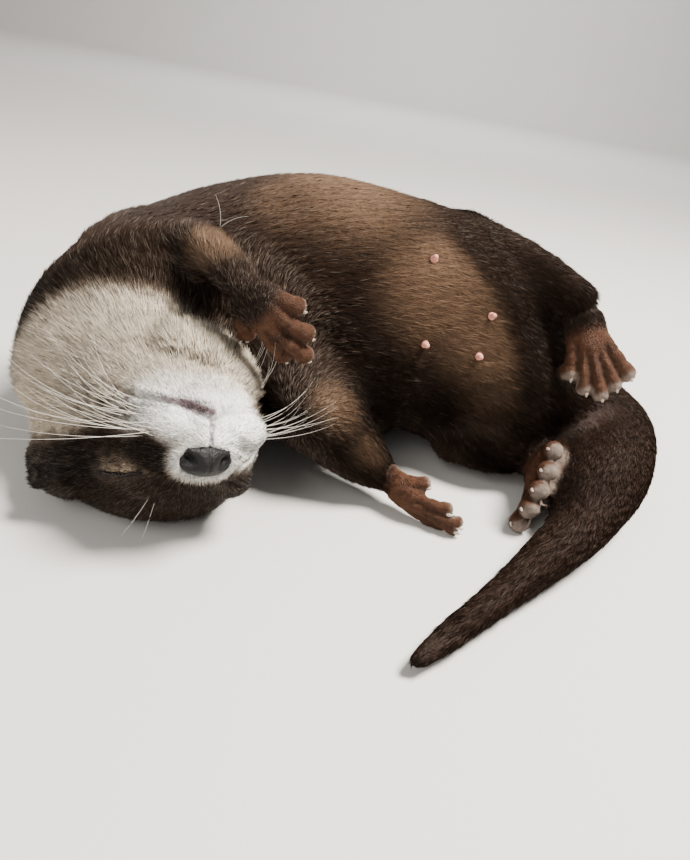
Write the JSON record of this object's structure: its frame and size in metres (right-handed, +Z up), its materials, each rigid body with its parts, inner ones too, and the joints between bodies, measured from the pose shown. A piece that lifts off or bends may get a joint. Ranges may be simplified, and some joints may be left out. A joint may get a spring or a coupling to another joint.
{
  "type": "asian small-clawed otter",
  "caption": "Life-size still model of an Asian small-clawed otter asleep on its back, head upside down on one cheek, paws loose and tail curled forward.",
  "frame": {"origin": "middle of the model's box, on the floor it lies on", "axes": "+Z up, -Y the side the belly, chin and tail tip turn to, -X the head end, +X the rump end"},
  "size_m": [0.2861, 0.2195, 0.1162],
  "materials": {
    "coat": "short dense dark chocolate-brown fur, slightly glossy guard hairs",
    "pale_coat": "short cream and grey fur on throat and cheeks, turning dark brown on the crown",
    "paw_skin": "thinly haired reddish-brown skin with pale grey-pink pads and tiny blunt claws",
    "nose_leather": "damp dark grey nose leather"
  },
  "bodies": {
    "root": {"head": "pale_coat", "nose": "nose_leather", "ear_left": "coat", "ear_right": "coat", "eyelid_left": "pale_coat", "eyelid_right": "pale_coat", "neck": "coat", "chest": "coat", "abdomen": "coat", "tail_base": "coat", "tail_middle": "coat", "tail_tip": "coat", "upper_arm_left": "coat", "forearm_left": "coat", "forepaw_left": "paw_skin", "upper_arm_right": "coat", "forearm_right": "coat", "forepaw_right": "paw_skin", "thigh_left": "coat", "shank_left": "coat", "hind_foot_left": "paw_skin", "thigh_right": "coat", "shank_right": "coat", "hind_foot_right": "paw_skin"}
  },
  "joints": []
}
